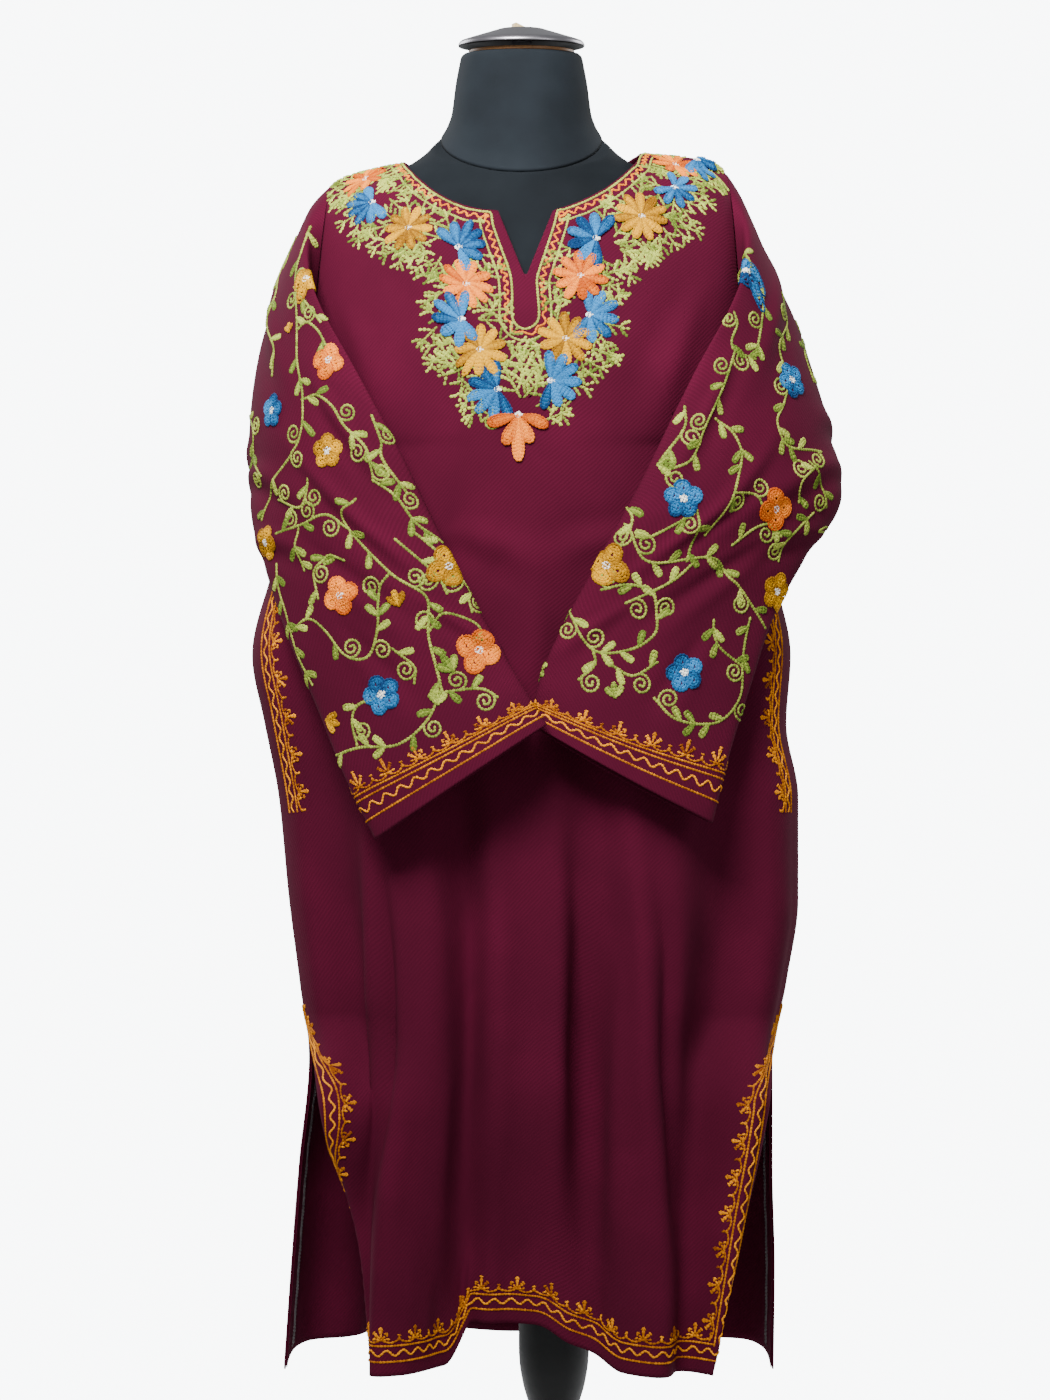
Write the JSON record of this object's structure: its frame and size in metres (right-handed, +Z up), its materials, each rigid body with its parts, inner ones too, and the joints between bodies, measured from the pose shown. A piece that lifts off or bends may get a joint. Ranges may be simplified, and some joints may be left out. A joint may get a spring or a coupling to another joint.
{
  "type": "pheran on a limbless dress form with a stand",
  "caption": "Long wool pheran with wide embroidered sleeves, a slit scoop neck, side slits and side pockets, worn by a limbless form on a round stand.",
  "frame": {"origin": "centre of the stand base's underside, on the floor", "axes": "+Z up, the garment's front faces -Y, +X to the right as seen from the front (the wearer's left)"},
  "size_m": [0.5111, 0.38, 1.5192],
  "materials": {
    "wool": "matt burgundy wool twill",
    "pocketing": "matt plain weave",
    "form_cover": "matt black jersey",
    "cap_metal": "spun metal",
    "wood": "plain varnished wood",
    "stand_enamel": "black gloss enamel",
    "thread_green": "embroidery yarn",
    "thread_gold": "embroidery yarn",
    "thread_peach": "embroidery yarn",
    "thread_blue": "embroidery yarn",
    "thread_white": "embroidery yarn"
  },
  "bodies": {
    "root": {"front_panel": "wool", "back_panel": "wool", "sleeve_right": "wool", "sleeve_left": "wool", "pocket_bag_right": "pocketing", "pocket_bag_left": "pocketing", "slit_facing_right": "wool", "slit_facing_left": "wool", "form_torso": "form_cover", "form_neck": "form_cover", "neck_plate": "wood", "cap_stem": "cap_metal", "neck_cap": "cap_metal", "cap_peg": "wood", "stand_column": "stand_enamel", "stand_pole": "stand_enamel", "stand_base": "stand_enamel"}
  },
  "joints": []
}
